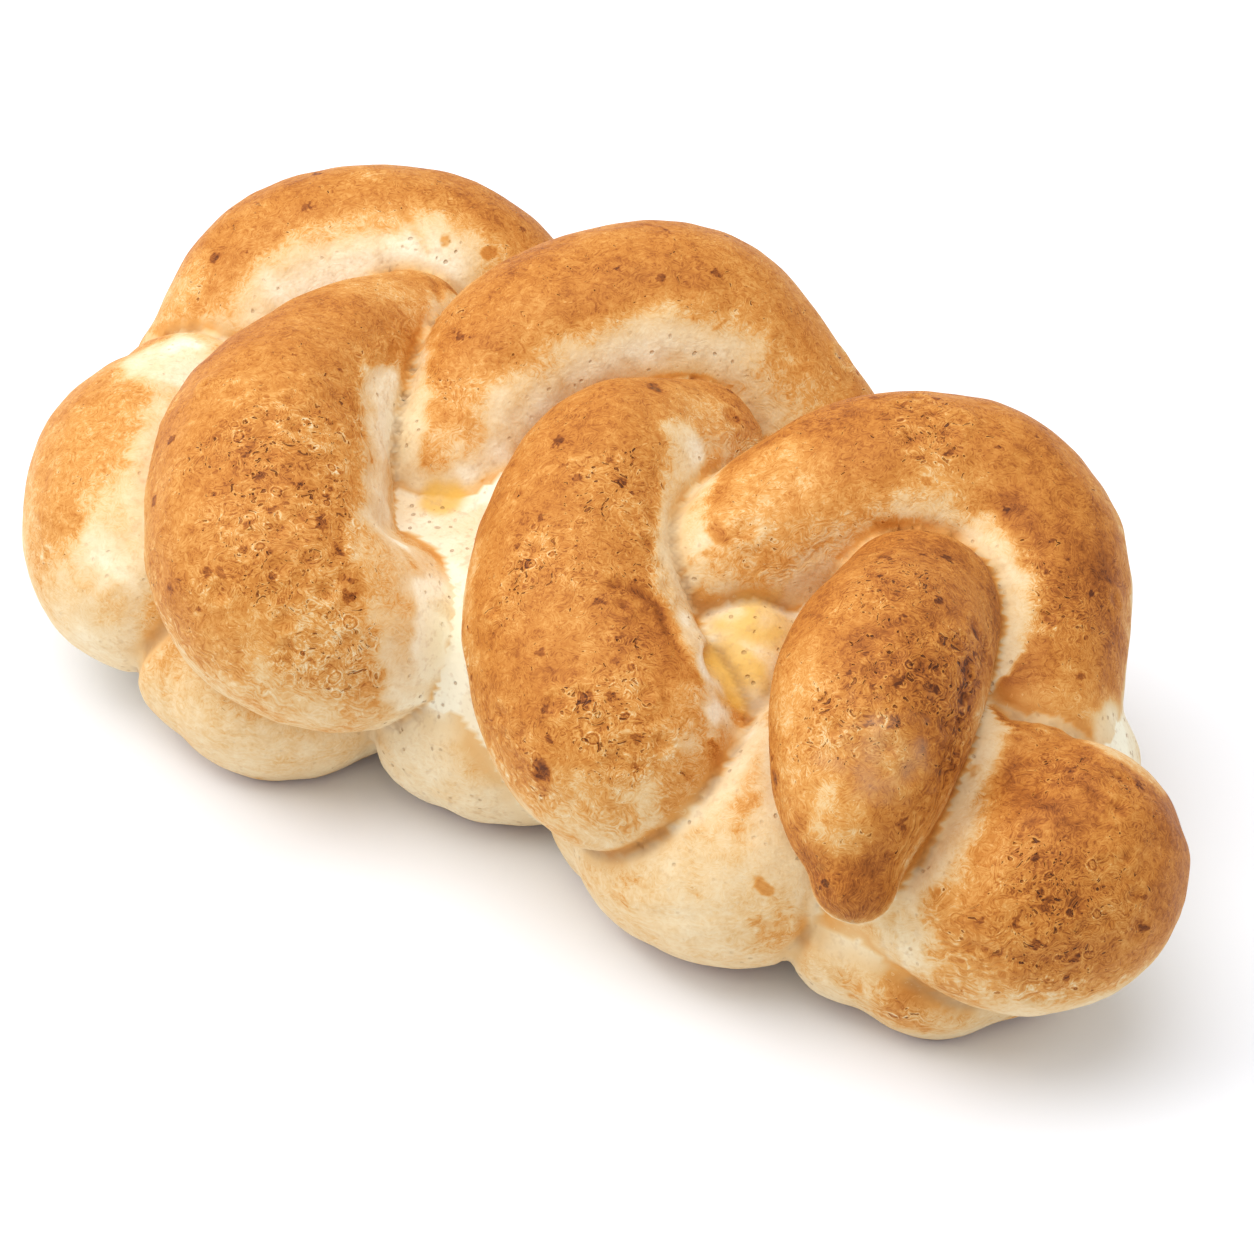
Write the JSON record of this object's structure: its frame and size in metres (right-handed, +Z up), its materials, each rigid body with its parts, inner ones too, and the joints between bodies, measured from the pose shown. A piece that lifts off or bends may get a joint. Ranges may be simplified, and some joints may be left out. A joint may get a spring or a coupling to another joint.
{
  "type": "braided loaf",
  "caption": "Plaited white loaf with plump crossing strands, golden brown crowns, pale creases and a flat baked base.",
  "frame": {"origin": "middle of the bounding box at the loaf's flat base", "axes": "+X along the loaf towards the end that ends in the tapered strand, +Z up, -Y towards the side that shows in the picture"},
  "size_m": [0.2822, 0.1586, 0.0882],
  "materials": {
    "crust": "dull baked crust, golden brown on the crowns and cream in the creases"
  },
  "bodies": {
    "root": {"loaf": "crust"}
  },
  "joints": []
}
